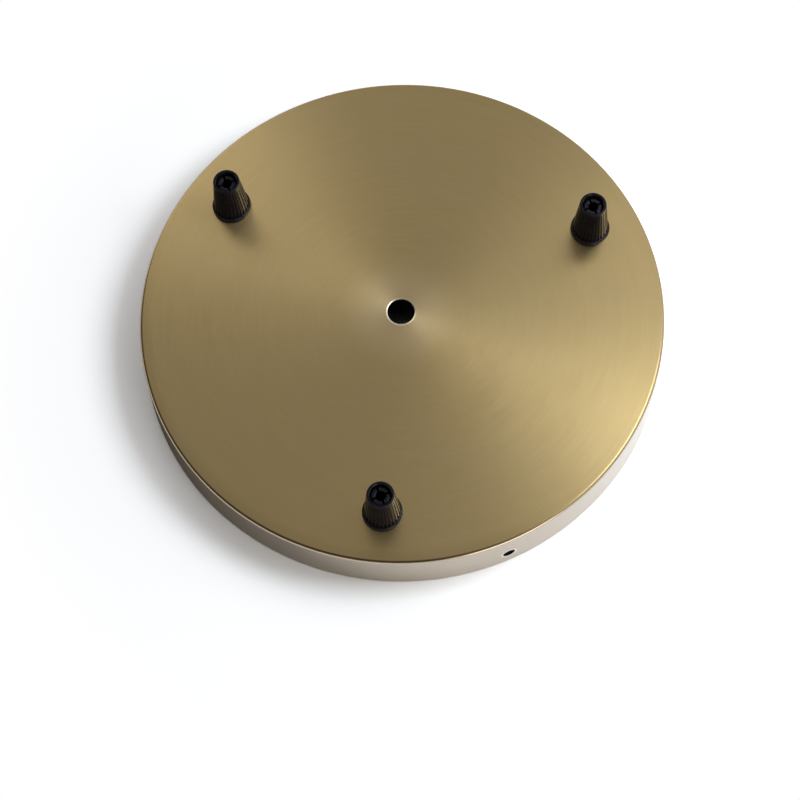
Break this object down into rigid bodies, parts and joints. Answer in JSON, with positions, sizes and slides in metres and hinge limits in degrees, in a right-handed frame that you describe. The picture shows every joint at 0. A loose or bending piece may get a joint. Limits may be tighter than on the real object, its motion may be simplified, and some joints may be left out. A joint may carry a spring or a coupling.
{
  "type": "ceiling canopy",
  "caption": "Round brushed brass ceiling canopy pan with tapered black cord grips, an open centre hole, wall holes and the strap inside that fixes it to a ceiling.",
  "frame": {"origin": "the middle of the open rim, in the ceiling plane", "axes": "+Z from the ceiling plane to the brushed face, +X through the wall hole that the picture shows"},
  "size_m": [0.25, 0.25, 0.0502],
  "materials": {
    "brushed_brass": "antique brass, spun and brushed round the middle on the face, polished on the wall",
    "black_plastic": "moulded black plastic, satin to gloss",
    "zinc_steel": "zinc plated steel",
    "plain_brass": "turned brass"
  },
  "bodies": {
    "canopy": {"canopy_pan": "brushed_brass", "grip_body_1": "black_plastic", "grip_body_2": "black_plastic", "grip_body_3": "black_plastic", "lock_nut_1": "zinc_steel", "lock_nut_2": "zinc_steel", "lock_nut_3": "zinc_steel", "ceiling_bracket": "zinc_steel", "earth_screw": "plain_brass", "earth_washer": "plain_brass"},
    "cap_1": {"grip_cap_1": "black_plastic"},
    "cap_2": {"grip_cap_2": "black_plastic"},
    "cap_3": {"grip_cap_3": "black_plastic"}
  },
  "joints": [
    {"name": "cap_1_turn", "type": "hinge", "parent": "canopy", "child": "cap_1", "pos_m": [-0.00349, 0.09994, 0.033], "axis": [0, 0, 1], "range_deg": [0, 360]},
    {"name": "cap_2_turn", "type": "hinge", "parent": "canopy", "child": "cap_2", "pos_m": [-0.08481, -0.05299, 0.033], "axis": [0, 0, 1], "range_deg": [0, 360]},
    {"name": "cap_3_turn", "type": "hinge", "parent": "canopy", "child": "cap_3", "pos_m": [0.08829, -0.04695, 0.033], "axis": [0, 0, 1], "range_deg": [0, 360]}
  ]
}
